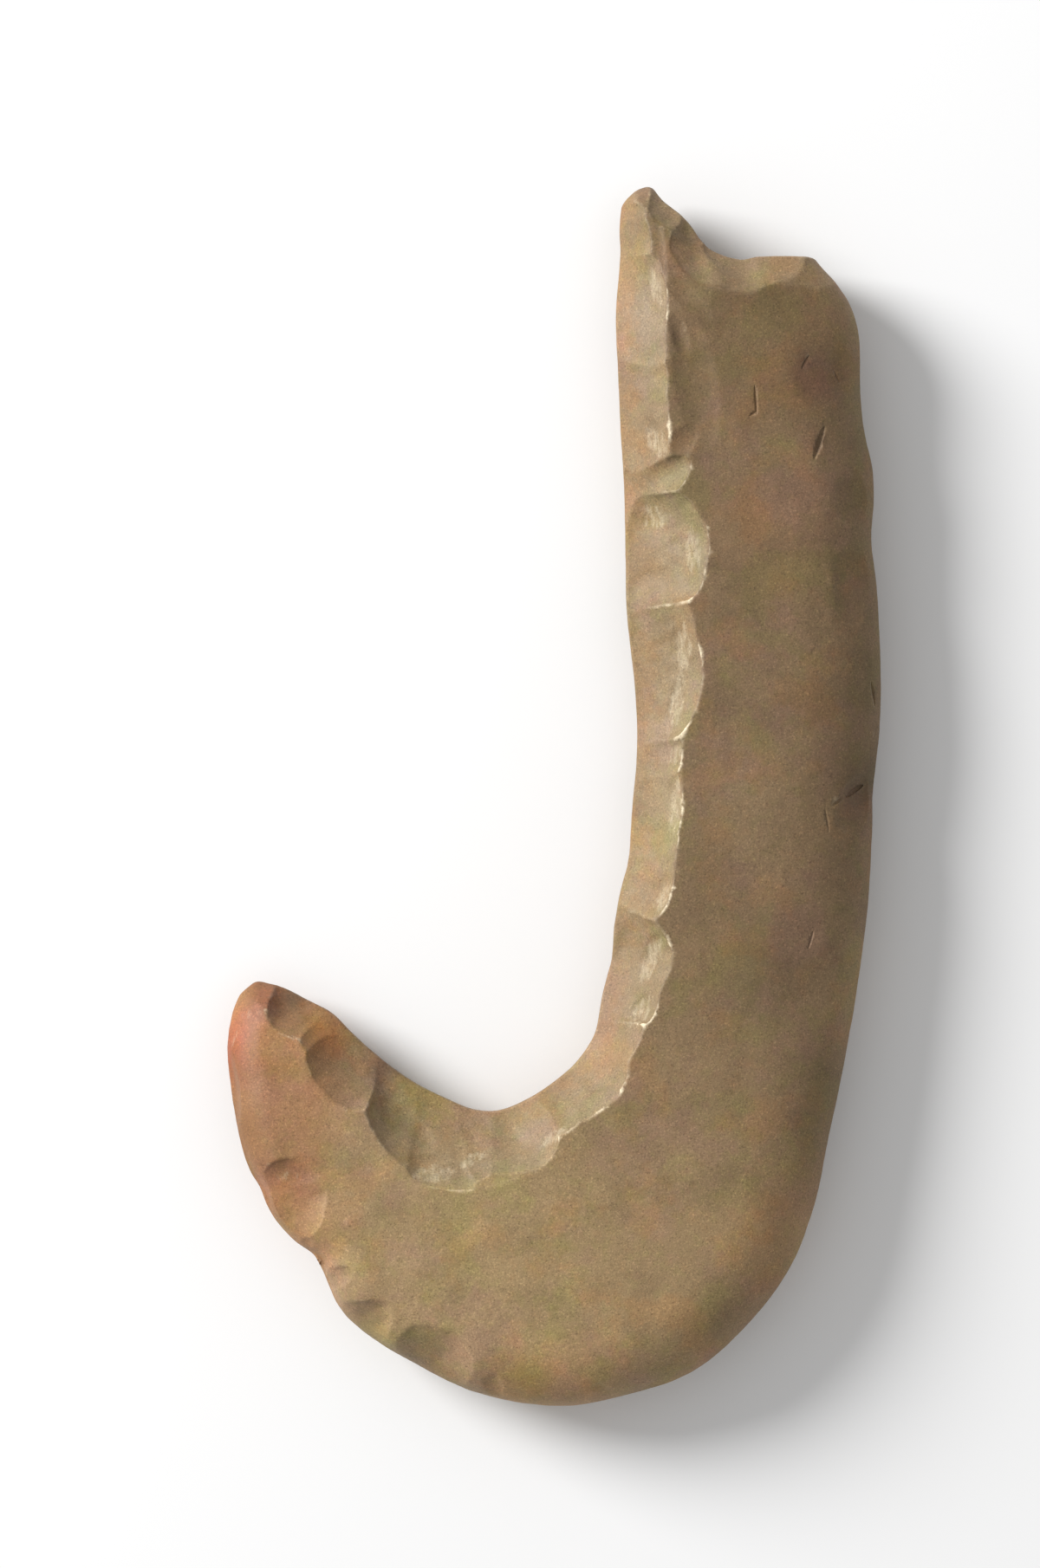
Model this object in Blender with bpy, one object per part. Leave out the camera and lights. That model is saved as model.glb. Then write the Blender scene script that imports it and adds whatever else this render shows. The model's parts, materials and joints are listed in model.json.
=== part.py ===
"""A knapped stone fish hook, lying on its flat underside with its worked face up.

The blank is lofted from ribs that run from the inner edge of the hook to its outer edge, from the
broken end of the shank round the bend to the point. The break and the flake scars are then struck
off it as bowls. Every place on the hook is given in percent of its length.
"""

import math

import bmesh
import bpy
import numpy as np
from mathutils import Matrix, Vector

# Driving sizes, in metres
HOOK_LENGTH = 0.090
HOOK_THICKNESS = 0.0085
INNER_ROUND_WIDTH = 0.0024
OUTER_ROUND_WIDTH = 0.0062
UNDER_ROUND_WIDTH = 0.0040

PERCENT = HOOK_LENGTH / 100

# The inner edge, from the spur down the shank and round the throat to the point.
# Each row is the station along the hook, the place across and the place up, in percent.
INNER_EDGE = (
    (0.0, 33.8, 100.0),
    (0.7, 32.8, 99.3),
    (2.0, 32.4, 98.0),
    (5.7, 32.4, 94.3),
    (10.1, 32.0, 89.9),
    (15.6, 32.2, 84.4),
    (20.5, 32.4, 79.5),
    (25.8, 32.7, 74.2),
    (34.6, 32.9, 65.4),
    (39.5, 33.4, 60.5),
    (44.1, 33.8, 55.9),
    (52.1, 33.3, 47.9),
    (55.1, 33.1, 44.9),
    (57.9, 32.4, 42.1),
    (60.7, 31.9, 39.3),
    (63.4, 31.7, 36.6),
    (65.6, 31.1, 34.5),
    (68.0, 30.7, 32.2),
    (70.0, 30.3, 30.5),
    (72.3, 29.1, 28.6),
    (75.3, 27.0, 26.6),
    (78.4, 24.4, 25.0),
    (80.7, 22.3, 24.2),
    (82.8, 20.2, 24.3),
    (85.1, 18.1, 25.2),
    (88.2, 15.3, 26.6),
    (90.5, 13.4, 28.0),
    (94.8, 10.1, 30.8),
    (96.9, 8.7, 32.2),
    (99.0, 6.8, 33.2),
    (101.3, 4.7, 34.3),
    (102.4, 3.7, 34.6),
    (103.2, 2.8, 34.8),
)
# The outer edge, from the corner of the broken end round the belly of the hook to the point.
OUTER_EDGE = (
    (0.0, 47.3, 100.0),
    (2.9, 47.6, 97.1),
    (5.8, 48.3, 94.2),
    (7.4, 49.8, 92.6),
    (9.2, 51.1, 90.8),
    (11.5, 51.9, 88.5),
    (17.0, 52.1, 83.0),
    (19.9, 52.4, 80.1),
    (23.3, 53.2, 76.7),
    (25.8, 53.3, 74.2),
    (29.1, 53.1, 70.9),
    (32.6, 53.5, 67.4),
    (45.1, 53.7, 54.9),
    (48.6, 53.3, 51.4),
    (53.2, 53.1, 46.8),
    (57.5, 52.8, 42.1),
    (62.0, 52.1, 35.9),
    (66.0, 51.1, 29.9),
    (70.0, 49.6, 22.4),
    (73.5, 48.0, 15.3),
    (75.2, 46.6, 11.8),
    (77.0, 44.1, 8.2),
    (79.0, 40.3, 4.3),
    (80.0, 37.9, 2.6),
    (81.3, 34.3, 1.3),
    (83.3, 27.6, 0.0),
    (85.5, 20.1, 1.3),
    (86.8, 16.3, 3.1),
    (88.1, 12.8, 5.1),
    (89.3, 10.0, 7.2),
    (91.0, 8.0, 10.9),
    (91.7, 7.5, 12.2),
    (92.4, 6.1, 13.1),
    (94.1, 3.5, 16.0),
    (94.8, 3.0, 17.5),
    (95.8, 1.9, 19.4),
    (97.2, 1.0, 22.4),
    (98.8, 0.4, 25.7),
    (100.3, 0.1, 28.7),
    (101.5, 0.3, 31.3),
    (102.4, 0.9, 33.4),
    (103.0, 1.7, 34.5),
    (103.2, 2.3, 34.8),
)
# The broken end: from the tip of the spur down its hollow side and over the shoulder, to clear of
# the corner. What is above it is cut away, up to a level that clears the hook.
BREAK_EDGE = (
    (34.9, 102.0),
    (35.2, 99.6),
    (35.9, 98.7),
    (37.4, 97.5),
    (38.1, 96.8),
    (38.8, 95.7),
    (39.7, 94.8),
    (40.8, 94.3),
    (42.4, 93.9),
    (43.3, 94.2),
    (48.0, 94.2),
    (56.0, 94.4),
)
BREAK_CLEAR_LEVEL = 104.0

# Station, then a share of the thickness
FACE_HEIGHT = (
    (0.0, 0.74),
    (5.0, 0.95),
    (9.0, 1.0),
    (84.0, 1.0),
    (90.0, 0.96),
    (95.0, 0.87),
    (99.0, 0.75),
    (102.0, 0.58),
    (103.2, 0.42),
)
UNDERSIDE_HEIGHT = (
    (0.0, 0.12),
    (5.0, 0.02),
    (9.0, 0.0),
    (86.0, 0.0),
    (92.0, 0.03),
    (98.0, 0.08),
    (103.2, 0.16),
)
# Station, then a share of the outer edge's width of rounding
OUTER_ROUND_SHARE = (
    (0.0, 1.0),
    (70.0, 1.0),
    (82.0, 0.8),
    (90.0, 0.56),
    (103.2, 0.45),
)
# How high each edge runs, as a share of the thickness there
INNER_EDGE_LEVEL = 0.40
OUTER_EDGE_LEVEL = 0.52

# Flake scars on the face. Each row is the first and last station that the scar spans on its edge,
# its reach over the face in percent, how deep it bites at the edge as a share of the thickness,
# how flat its bowl is, and how far it leans along the edge in degrees.
INNER_SCARS = (
    (0.2, 8.0, 1.7, 0.40, 2.4, 0),
    (3.4, 13.5, 3.5, 0.52, 2.4, 0),
    (12.0, 22.2, 3.9, 0.54, 2.4, 0),
    (21.0, 25.8, 4.9, 0.48, 1.6, 16),
    (24.4, 34.6, 6.4, 0.56, 1.6, 0),
    (34.6, 44.0, 5.2, 0.56, 1.6, 4),
    (43.8, 49.0, 3.6, 0.50, 2.2, 0),
    (48.0, 59.4, 3.6, 0.54, 2.6, 0),
    (58.6, 68.8, 4.2, 0.54, 2.2, 0),
    (67.4, 76.4, 4.3, 0.54, 2.6, 0),
    (74.0, 82.0, 4.5, 0.54, 2.6, 4),
    (79.8, 86.6, 5.0, 0.54, 2.4, 10),
    (85.2, 90.8, 6.0, 0.54, 1.7, 22),
    (91.0, 96.4, 5.4, 0.52, 1.6, 20),
    (96.6, 101.2, 3.3, 0.50, 1.6, 14),
)
OUTER_SCARS = (
    (6.6, 13.0, 3.4, 0.34, 2.4, 0),
    (22.8, 27.8, 4.7, 0.35, 2.2, 0),
    (27.6, 36.6, 5.4, 0.34, 2.6, 0),
    (37.4, 42.2, 2.4, 0.42, 1.8, 0),
    (41.8, 46.8, 2.8, 0.40, 1.8, 0),
    (47.4, 52.8, 4.6, 0.46, 1.2, -12),
    (60.0, 67.0, 3.0, 0.37, 2.4, 0),
    (76.0, 79.6, 4.8, 0.33, 2.2, 0),
    (80.7, 82.7, 2.6, 0.37, 2.0, 0),
    (83.5, 85.5, 2.6, 0.33, 2.0, 0),
    (85.7, 88.1, 4.1, 0.31, 2.2, 0),
    (88.4, 90.3, 3.3, 0.32, 2.0, 0),
    (90.5, 92.4, 3.3, 0.31, 2.2, 0),
    (92.3, 94.7, 2.9, 0.34, 2.2, 0),
    (94.4, 96.2, 2.5, 0.34, 2.0, 0),
    (96.2, 102.2, 2.0, 0.38, 2.8, 0),
)
# The same along the broken end, by the place across of the first and last point
BREAK_SCARS = (
    (35.4, 39.2, 1.9, 0.36, 2.2, 0),
    (38.6, 43.6, 3.3, 0.34, 2.6, 0),
    (43.4, 51.6, 3.1, 0.32, 3.2, 0),
)

# The underside was worked more evenly: scars of one pattern run along each edge.
UNDER_SCAR_STEP = 8.2
UNDER_SCAR_REACHES = (3.2, 4.4, 2.6, 3.8, 5.0)
UNDER_SCAR_BITE = 0.33
UNDER_SCAR_FLATNESS = 2.0

# How much wider than its share of the edge each scar is
INNER_OVERLAP = 1.85
OUTER_OVERLAP = 1.3
BREAK_OVERLAP = 1.8
UNDER_OVERLAP = 2.1
EDGE_SAMPLES = 400
BOWL_SEGMENTS = 28
BOWL_RINGS = 14
# The spacing of the ribs, in percent, and where the shank turns into the bend
RIB_STEP_SHANK = 1.3
RIB_STEP_BEND = 0.62
BEND_START = 66.0

# Where the points of a rounded edge stand, as shares of its width
INNER_ROUND_STEPS = (0.0, 0.06, 0.3, 1.0)
OUTER_ROUND_STEPS = (0.0, 0.02, 0.08, 0.19, 0.36, 0.62, 1.0)
UNDER_ROUND_STEPS = (0.06, 0.3, 1.0)
# The most of the hook's breadth that one rounded edge or scar underneath takes up
MOST_ROUND_SHARE = 0.42

STONE_COLOUR = (0.25, 0.17, 0.095, 1.0)
STONE_ROUGHNESS = 0.55


def smooth_value(rows, station):
    """Reads a table of (station, value, ...) at one station, along a smooth curve through it."""
    stations = [row[0] for row in rows]
    station = min(max(station, stations[0]), stations[-1])
    i = min(max(np.searchsorted(stations, station) - 1, 0), len(rows) - 2)
    values = np.array([row[1:] for row in rows], float)

    def slope(k):
        if k in (0, len(rows) - 1):
            j = min(max(k, 1), len(rows) - 1)
            return (values[j] - values[j - 1]) / (stations[j] - stations[j - 1])
        before = (values[k] - values[k - 1]) / (stations[k] - stations[k - 1])
        after = (values[k + 1] - values[k]) / (stations[k + 1] - stations[k])
        return (before + after) / 2

    width = stations[i + 1] - stations[i]
    t = (station - stations[i]) / width
    from_start = (1 + 2 * t) * (1 - t) ** 2 * values[i] + t * (1 - t) ** 2 * width * slope(i)
    to_end = t * t * (3 - 2 * t) * values[i + 1] + t * t * (t - 1) * width * slope(i + 1)
    return from_start + to_end


def level(rows, station):
    """A height in metres, read from a table of shares of the thickness."""
    return HOOK_THICKNESS * float(np.clip(smooth_value(rows, station)[0], 0, 1))


def edge_point(rows, station):
    return Vector((*(smooth_value(rows, station) * PERCENT), 0))


def rib(station):
    """One closed section of the blank, from the inner edge over the face and back below."""
    inner, outer = edge_point(INNER_EDGE, station), edge_point(OUTER_EDGE, station)
    span = (outer - inner).length
    face, under = level(FACE_HEIGHT, station), level(UNDERSIDE_HEIGHT, station)
    inner_rim, outer_rim = (
        under + share * (face - under) for share in (INNER_EDGE_LEVEL, OUTER_EDGE_LEVEL)
    )

    def round_over(width, rim, far, steps):
        """Distances from the edge and heights, round a quarter of an ellipse up to a level."""
        width = min(width, MOST_ROUND_SHARE * span)
        return [(s * width, rim + (far - rim) * math.sqrt(1 - (1 - s) ** 2)) for s in steps]

    section = round_over(INNER_ROUND_WIDTH, inner_rim, face, INNER_ROUND_STEPS)
    outer_width = OUTER_ROUND_WIDTH * float(smooth_value(OUTER_ROUND_SHARE, station)[0])
    over_outer = round_over(outer_width, outer_rim, face, OUTER_ROUND_STEPS)
    under_outer = round_over(UNDER_ROUND_WIDTH, outer_rim, under, UNDER_ROUND_STEPS)
    under_inner = round_over(UNDER_ROUND_WIDTH, inner_rim, under, UNDER_ROUND_STEPS)
    section += [(span - d, z) for d, z in reversed(over_outer)]
    section += [(span - d, z) for d, z in under_outer]
    section += [(d, z) for d, z in reversed(under_inner)]
    along = (outer - inner).normalized()
    return [inner + along * d + Vector((0, 0, z)) for d, z in section]


def stations():
    last = INNER_EDGE[-1][0]
    shank = np.linspace(0, BEND_START, round(BEND_START / RIB_STEP_SHANK), endpoint=False)
    bend = np.linspace(BEND_START, last, round((last - BEND_START) / RIB_STEP_BEND))
    return [*shank, *bend]


def lofted_blank(name):
    """The blank of the hook: ribs joined side by side, with a cap at each end."""
    mesh = bpy.data.meshes.new(name)
    bm = bmesh.new()
    rings = [[bm.verts.new(point) for point in rib(station)] for station in stations()]
    for before, after in zip(rings, rings[1:]):
        for k in range(len(before)):
            n = (k + 1) % len(before)
            bm.faces.new((before[k], before[n], after[n], after[k]))
    bm.faces.new(reversed(rings[0]))
    bm.faces.new(rings[-1])
    bmesh.ops.recalc_face_normals(bm, faces=bm.faces)
    bm.to_mesh(mesh)
    bm.free()
    return bpy.data.objects.new(name, mesh)


def bowl_axes(half_width, reach, bite, flatness):
    """Half axes of the bowl that reaches this far over the face and bites this deep at the edge.

    The bowl's middle stands outside the edge and above the face, by flatness times reach and bite.
    """
    outside, above = flatness * reach, flatness * bite
    at_face = (reach + outside) ** 2, above**2
    at_edge = outside**2, (bite + above) ** 2
    scale = at_face[0] * at_edge[1] - at_edge[0] * at_face[1]
    inward = (at_edge[1] - at_face[1]) / scale
    upward = (at_face[0] - at_edge[0]) / scale
    left = 1 - inward * outside**2 - upward * above**2
    return half_width / math.sqrt(left), 1 / math.sqrt(inward), 1 / math.sqrt(upward)


def scar_bowl(cutters, name, start, end, inward, height, scar_sizes, up=1):
    """Strikes one flake scar between two points of an edge, on the face or, with up=-1, below."""
    reach, bite, flatness, lean, overlap = scar_sizes
    half_axes = bowl_axes((end - start).length / 2 * overlap, reach, bite, flatness)
    along = (end - start).normalized()
    square = Vector((-along.y, along.x, 0))
    if square.dot(inward) < 0:
        square.negate()
    leaning = Matrix.Rotation(math.radians(lean), 3, "Z")
    along, square = leaning @ along, leaning @ square
    middle = (start + end) / 2 - square * flatness * reach
    middle.z = height + up * flatness * bite
    turned = Matrix((along, square, Vector((0, 0, 1)))).transposed().to_4x4()
    mesh = bpy.data.meshes.new(name)
    bm = bmesh.new()
    bmesh.ops.create_uvsphere(bm, u_segments=BOWL_SEGMENTS, v_segments=BOWL_RINGS, radius=1)
    bmesh.ops.transform(bm, matrix=Matrix.Diagonal((*half_axes, 1)), verts=bm.verts)
    bmesh.ops.transform(bm, matrix=Matrix.Translation(middle) @ turned, verts=bm.verts)
    bmesh.ops.recalc_face_normals(bm, faces=bm.faces)
    bm.to_mesh(mesh)
    bm.free()
    cutters.objects.link(bpy.data.objects.new(name, mesh))


def strike_edge(cutters, name, edge, other_edge, scars, overlap):
    """The scars on the face along one edge of the hook."""
    for number, (first, last, reach, bite, flatness, lean) in enumerate(scars):
        middle = (first + last) / 2
        face = level(FACE_HEIGHT, middle)
        body = face - level(UNDERSIDE_HEIGHT, middle)
        sizes = reach * PERCENT, bite * body, flatness, lean, overlap
        inward = edge_point(other_edge, middle) - edge_point(edge, middle)
        ends = edge_point(edge, first), edge_point(edge, last)
        scar_bowl(cutters, f"{name}_{number}", *ends, inward, face, sizes)


def strike_underside(cutters, name, edge, other_edge):
    """An even run of scars along the underside of one edge, as long as each other."""
    fine = np.linspace(edge[0][0], edge[-1][0], EDGE_SAMPLES)
    points = [edge_point(edge, station) for station in fine]
    run = np.cumsum([0, *((b - a).length for a, b in zip(points, points[1:]))])
    count = round(run[-1] / (UNDER_SCAR_STEP * PERCENT))
    splits = np.interp(np.linspace(0, run[-1], count + 1), run, fine)
    for number, (first, last) in enumerate(zip(splits, splits[1:])):
        middle = (first + last) / 2
        under = level(UNDERSIDE_HEIGHT, middle)
        body = level(FACE_HEIGHT, middle) - under
        inward = edge_point(other_edge, middle) - edge_point(edge, middle)
        reach = UNDER_SCAR_REACHES[number % len(UNDER_SCAR_REACHES)] * PERCENT
        reach = min(reach, MOST_ROUND_SHARE * inward.length)
        sizes = reach, UNDER_SCAR_BITE * body, UNDER_SCAR_FLATNESS, 0, UNDER_OVERLAP
        ends = edge_point(edge, first), edge_point(edge, last)
        scar_bowl(cutters, f"{name}_{number}", *ends, inward, under, sizes, up=-1)


def break_end(cutters):
    """Snaps the end of the shank off along the break, and strikes the scars that run from it."""
    outline = [Vector((across, up, 0)) * PERCENT for across, up in BREAK_EDGE]
    sides = outline[-1].x, outline[0].x
    corners = [Vector((side, BREAK_CLEAR_LEVEL * PERCENT, 0)) for side in sides]
    bm = bmesh.new()
    flat = bm.faces.new([bm.verts.new(point) for point in outline + corners])
    bmesh.ops.translate(bm, vec=(0, 0, -HOOK_THICKNESS), verts=bm.verts)
    raised = bmesh.ops.extrude_face_region(bm, geom=[flat])["geom"]
    tops = [item for item in raised if isinstance(item, bmesh.types.BMVert)]
    bmesh.ops.translate(bm, vec=(0, 0, 3 * HOOK_THICKNESS), verts=tops)
    bmesh.ops.recalc_face_normals(bm, faces=bm.faces)
    mesh = bpy.data.meshes.new("break")
    bm.to_mesh(mesh)
    bm.free()
    cutters.objects.link(bpy.data.objects.new("break", mesh))
    across, up = zip(*BREAK_EDGE)
    for number, (first, last, reach, bite, flatness, lean) in enumerate(BREAK_SCARS):
        start, end = (
            Vector((place, float(np.interp(place, across, up)), 0)) * PERCENT
            for place in (first, last)
        )
        face = level(FACE_HEIGHT, 100 - (start.y + end.y) / 2 / PERCENT)
        sizes = reach * PERCENT, bite * face, flatness, lean, BREAK_OVERLAP
        scar_bowl(cutters, f"break_scar_{number}", start, end, Vector((0, -1, 0)), face, sizes)


def stone_material():
    material = bpy.data.materials.new("stone")
    material.use_nodes = True
    shader = material.node_tree.nodes["Principled BSDF"]
    shader.inputs["Base Color"].default_value = STONE_COLOUR
    shader.inputs["Roughness"].default_value = STONE_ROUGHNESS
    shader.inputs["Metallic"].default_value = 0.0
    return material


def new_collection(name):
    collection = bpy.data.collections.new(name)
    bpy.context.scene.collection.children.link(collection)
    return collection


def centred_mesh(mesh):
    """Puts the origin below the middle of the hook, on the surface that it lies on."""
    points = np.array([vertex.co for vertex in mesh.vertices])
    low, high = points.min(axis=0), points.max(axis=0)
    mesh.transform(Matrix.Translation((*(-(low + high)[:2] / 2), -low[2])))
    return mesh


def main():
    for obj in list(bpy.data.objects):
        bpy.data.objects.remove(obj)
    hook_parts, cutters = new_collection("stone_fish_hook"), new_collection("cutters")
    blank = lofted_blank("blank")
    cutters.hide_render = True
    blank_parts = new_collection("blank")
    blank_parts.objects.link(blank)
    break_end(cutters)
    strike_edge(cutters, "inner_scar", INNER_EDGE, OUTER_EDGE, INNER_SCARS, INNER_OVERLAP)
    strike_edge(cutters, "outer_scar", OUTER_EDGE, INNER_EDGE, OUTER_SCARS, OUTER_OVERLAP)
    strike_underside(cutters, "inner_under_scar", INNER_EDGE, OUTER_EDGE)
    strike_underside(cutters, "outer_under_scar", OUTER_EDGE, INNER_EDGE)
    for cutter in cutters.objects:
        cutter.hide_render = True
        cutter.display_type = "WIRE"
    strike = blank.modifiers.new("scars", "BOOLEAN")
    strike.operation = "DIFFERENCE"
    strike.operand_type = "COLLECTION"
    strike.collection = cutters
    bpy.context.view_layer.update()
    graph = bpy.context.evaluated_depsgraph_get()
    mesh = centred_mesh(bpy.data.meshes.new_from_object(blank.evaluated_get(graph)))
    mesh.name = "fish_hook"
    mesh.materials.clear()
    mesh.materials.append(stone_material())
    hook_parts.objects.link(bpy.data.objects.new("fish_hook", mesh))
    bpy.data.objects.remove(blank)


main()
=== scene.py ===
"""The looks of a knapped stone fish hook, lying with its worked face up.

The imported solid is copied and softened. Its worked face is then carved afresh, scar by scar, from
the hook's inner edge, its outer edge and its broken end, and cracks and crumbled spots follow.
Places on the hook are read off the photograph, in its pixels, x to the right and y down.
"""

import json
import math

import bpy
import numpy as np
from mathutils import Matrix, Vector
from mathutils.kdtree import KDTree

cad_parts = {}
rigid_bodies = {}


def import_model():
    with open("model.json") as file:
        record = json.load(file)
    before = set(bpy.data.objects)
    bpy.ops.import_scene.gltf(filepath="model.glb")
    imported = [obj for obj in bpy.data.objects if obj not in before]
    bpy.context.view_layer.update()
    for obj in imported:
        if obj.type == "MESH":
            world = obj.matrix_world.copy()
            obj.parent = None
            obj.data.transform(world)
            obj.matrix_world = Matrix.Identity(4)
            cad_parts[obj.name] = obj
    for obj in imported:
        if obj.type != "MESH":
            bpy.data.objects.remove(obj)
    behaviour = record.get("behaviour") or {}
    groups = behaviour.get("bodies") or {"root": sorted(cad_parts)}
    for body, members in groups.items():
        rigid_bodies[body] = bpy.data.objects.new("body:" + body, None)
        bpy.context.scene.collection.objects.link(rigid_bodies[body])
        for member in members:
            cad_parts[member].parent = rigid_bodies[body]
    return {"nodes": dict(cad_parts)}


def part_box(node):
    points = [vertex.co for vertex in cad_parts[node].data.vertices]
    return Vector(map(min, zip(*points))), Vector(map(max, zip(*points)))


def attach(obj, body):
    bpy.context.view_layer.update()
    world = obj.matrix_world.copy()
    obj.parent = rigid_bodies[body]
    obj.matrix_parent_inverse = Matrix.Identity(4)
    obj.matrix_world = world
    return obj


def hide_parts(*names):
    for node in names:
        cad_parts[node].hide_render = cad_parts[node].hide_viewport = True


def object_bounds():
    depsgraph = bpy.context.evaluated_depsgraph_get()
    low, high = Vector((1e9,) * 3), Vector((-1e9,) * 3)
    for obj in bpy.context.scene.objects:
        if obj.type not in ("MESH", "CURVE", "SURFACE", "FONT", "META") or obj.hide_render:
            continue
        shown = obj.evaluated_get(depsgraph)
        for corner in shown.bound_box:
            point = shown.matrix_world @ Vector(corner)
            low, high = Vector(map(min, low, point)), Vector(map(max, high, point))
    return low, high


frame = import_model()
CAD_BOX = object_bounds()
FACE_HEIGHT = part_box("fish_hook")[1].z

# The photograph: its size, and the pixel where the middle of the hook stands in it
PHOTO_WIDTH = 1200
PHOTO_HEIGHT = 1810
MIDDLE_X = 639.5
MIDDLE_Y = 919.5
HOOK_PIXELS = 1421
PIXEL = 0.090 / HOOK_PIXELS

MM = 0.001
LENS_MM = 120
SENSOR_MM = 36
FLOOR_SIZE = 1.6
KEY_SIZE = 0.34
KEY_POWER = 7.0
KEY_PLACE = (-0.55, 0.30, 0.34)
SKY_STRENGTH = 0.49
TRIANGLES = 195000
# Corners of the solid that are closer than this are one
MERGE_GAP = 0.000002
# The softened copy's voxels and strokes of smoothing, and the carved stone's voxels
SOFT_VOXEL = 0.25 * MM
SOFT_STROKES = 6
FINE_VOXEL = 0.165 * MM

# The three edges of the worked face, and the line midway between the two long ones: station along
# the hook, in percent of its length, then x and y. The broken end has stations of its own.
INNER_EDGE = (
    (0.0, 738, 209), (0.7, 724, 219), (2.0, 718, 237), (5.7, 718, 290), (10.1, 713, 353),
    (15.6, 716, 431), (20.5, 718, 500), (25.8, 723, 576), (34.6, 726, 701), (39.5, 733, 770),
    (44.1, 738, 836), (52.1, 731, 949), (55.1, 728, 992), (57.9, 718, 1032), (60.7, 711, 1072),
    (63.4, 708, 1110), (65.6, 700, 1140), (68.0, 694, 1172), (70.0, 689, 1197), (72.3, 672, 1224),
    (75.3, 642, 1252), (78.4, 605, 1275), (80.7, 575, 1286), (82.8, 545, 1285), (85.1, 515, 1272),
    (88.2, 475, 1252), (90.5, 448, 1232), (94.8, 402, 1192), (96.9, 382, 1172), (99.0, 355, 1158),
    (101.3, 325, 1143), (102.4, 311, 1138), (103.2, 298, 1136),
)
OUTER_EDGE = (
    (5.8, 944, 291), (7.4, 966, 314), (9.2, 984, 340), (11.5, 996, 372), (17.0, 998, 451),
    (19.9, 1003, 492), (23.3, 1014, 540), (25.8, 1015, 576), (29.1, 1013, 623), (32.6, 1018, 672),
    (45.1, 1021, 850), (48.6, 1015, 900), (53.2, 1013, 965), (57.5, 1008, 1032), (62.0, 998, 1120),
    (66.0, 984, 1205), (70.0, 963, 1312), (73.5, 940, 1413), (75.2, 920, 1462), (77.0, 885, 1513),
    (79.0, 831, 1569), (80.0, 797, 1593), (81.3, 745, 1612), (83.3, 650, 1630), (85.5, 544, 1612),
    (86.8, 490, 1586), (88.1, 440, 1558), (89.3, 400, 1528), (91.0, 372, 1475), (91.7, 365, 1457),
    (92.4, 345, 1444), (94.1, 308, 1403), (94.8, 301, 1381), (95.8, 285, 1354), (97.2, 272, 1312),
    (98.8, 264, 1265), (100.3, 259, 1222), (101.5, 262, 1185), (102.4, 271, 1155),
    (103.0, 282, 1140), (103.2, 291, 1136),
)
BREAK_EDGE = (
    (0.0, 740, 209), (1.0, 756, 213), (2.0, 768, 229), (3.5, 790, 245), (5.0, 799, 255),
    (6.5, 809, 270), (8.0, 822, 283), (9.0, 838, 290), (10.5, 860, 296), (12.0, 873, 292),
    (16.0, 940, 291), (16.5, 944, 291),
)
CENTRE_LINE = (
    (0.0, 742, 214), (4.0, 768, 262), (8.0, 816, 318), (12.0, 846, 380), (20.0, 860, 492),
    (30.0, 868, 634), (45.0, 880, 848), (55.0, 870, 990), (62.0, 853, 1110), (70.0, 820, 1262),
    (75.0, 762, 1372), (79.0, 700, 1430), (82.8, 610, 1452), (86.8, 506, 1424),
    (90.5, 428, 1370), (94.8, 356, 1292), (98.0, 314, 1220), (101.0, 294, 1166),
    (103.2, 288, 1134),
)
# How high the worked face and the underside stand: station, then a share of the whole thickness
FACE_LEVELS = (
    (0.0, 0.74), (5.0, 0.95), (9.0, 1.0), (84.0, 1.0), (90.0, 0.96), (95.0, 0.87), (99.0, 0.75),
    (102.0, 0.58), (103.2, 0.42),
)
UNDER_LEVELS = (
    (0.0, 0.12), (5.0, 0.02), (9.0, 0.0), (86.0, 0.0), (92.0, 0.03), (98.0, 0.08), (103.2, 0.16),
)
# Where the rim of the worked face stands between them, and how far in its edges are rounded
INNER_RIM_SHARE = 0.40
OUTER_RIM_SHARE = 0.52
INNER_ROUND = 2.4 * MM
OUTER_ROUND = 6.2 * MM
BREAK_ROUND = 0.5 * MM
# Station, then a share of the outer rounding
OUTER_ROUND_SHARES = ((5.8, 1.0), (70.0, 1.0), (82.0, 0.75), (90.0, 0.52), (103.2, 0.42))
# The face falls away a little from here towards the outer edge
CROWN_START_X = 770
CROWN_RUN = 250
CROWN_DROP = 0.45 * MM
# The least of the stone that is left under any scar, as a share of its thickness there
LEAST_LEFT = 0.25
# A rounded edge is as steep as this many pixels in from the outline, so its wall doesn't fold
NEAREST_AWAY = 1.6
# Unevenness of the scars' rims: height and length of the waves in pixels, and a seed
RIM_WAVES = ((1.2, 60, 1), (0.3, 22, 2))
RIM_WAVES_FADE_IN = (2, 24)
SIDEWAYS_WAVES = ((2.0, 70, 3),)
# The share of its depth that a scar loses towards its two ends
INNER_END_LOSS = 0.08
OUTER_END_LOSS = 0.2
# The depths between which a scar comes to show in the stone's colour
SCAR_SHOWS = (0.02 * MM, 0.14 * MM)
OUTER_SCARRED_SHOWS = (0.02 * MM, 0.12 * MM)
BREAK_SHOWS = (0.02 * MM, 0.20 * MM)
# Each inner scar's painted shade is this much on from the last one's, and past 1 it starts again at 0
SCAR_SHADE_STEP = 0.381966
PLAIN_SCAR_SHADE = 0.5
# The carving leaves all that is lower than this alone
CARVED_FROM = 0.25 * FACE_HEIGHT
# How the carving fades out: above the rim, on steep ground, and close to the edge, in pixels
RIM_FADE = (0.1 * MM, 0.5 * MM)
STEEP_FADE = (0.35, 0.55)
INLAND_FADE = (3, 8)
# How far below and above the rim the marks on the worked face fade in
MARK_FADE = 0.3 * MM
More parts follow.
